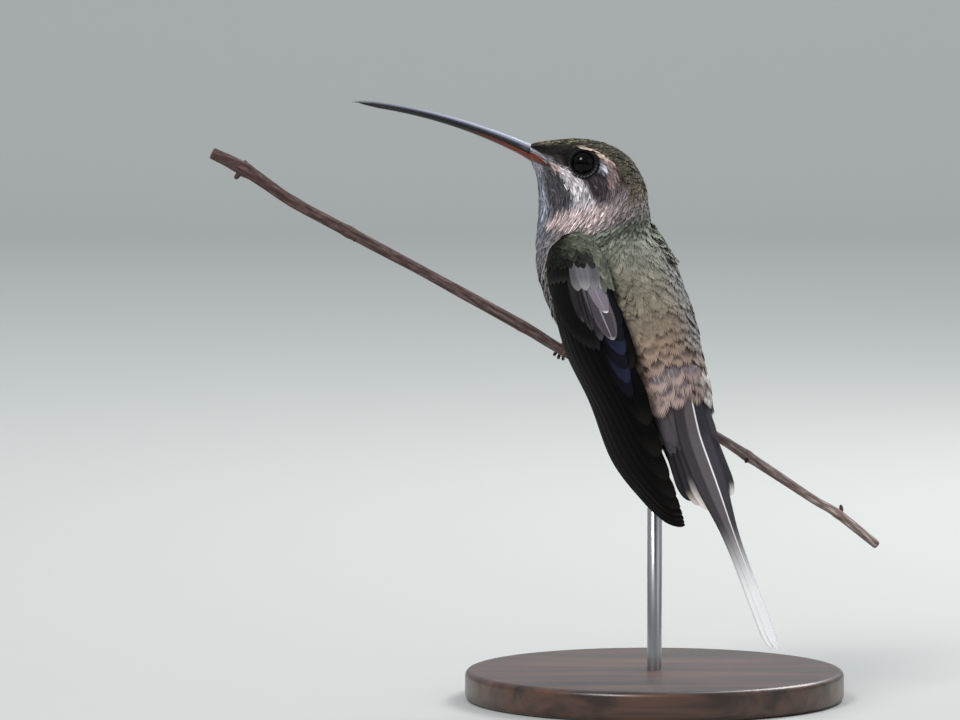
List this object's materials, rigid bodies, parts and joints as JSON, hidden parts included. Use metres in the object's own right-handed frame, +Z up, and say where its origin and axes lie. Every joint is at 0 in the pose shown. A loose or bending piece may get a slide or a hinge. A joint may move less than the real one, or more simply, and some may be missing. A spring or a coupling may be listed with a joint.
{
  "type": "hummingbird model",
  "caption": "Life-size long-tailed hermit hummingbird with a curved bill, perched on a cut twig above a round display stand.",
  "frame": {"origin": "centre of the underside of the stand's round base", "axes": "+Z up; -X the way the head and bill point; -Y the side from which the bird's left side and back are seen"},
  "size_m": [0.1342, 0.0827, 0.1202],
  "materials": {
    "crown_feathers": "matt feathers",
    "neck_feathers": "matt feathers",
    "back_feathers": "matt feathers with a faint sheen",
    "wing_feathers": "smooth dark flight feathers",
    "streamer_feathers": "smooth pale tail feathers",
    "eye": "wet gloss",
    "upper_bill": "polished horn",
    "lower_bill": "satin horn",
    "leg_scales": "dry scales",
    "bark": "dry bark",
    "base_wood": "satin varnish",
    "rod_steel": "satin"
  },
  "bodies": {
    "root": {"bill_lower": "lower_bill", "bill_upper": "upper_bill", "eye_left": "eye", "eye_right": "eye", "head": "crown_feathers", "leg_left": "leg_scales", "leg_right": "leg_scales", "neck": "neck_feathers", "perch_twig": "bark", "stand_base": "base_wood", "stand_clasp": "rod_steel", "stand_rod": "rod_steel", "tail_fan": "wing_feathers", "tail_streamers": "streamer_feathers", "trunk": "back_feathers", "wing_left": "wing_feathers", "wing_right": "wing_feathers"}
  },
  "joints": []
}
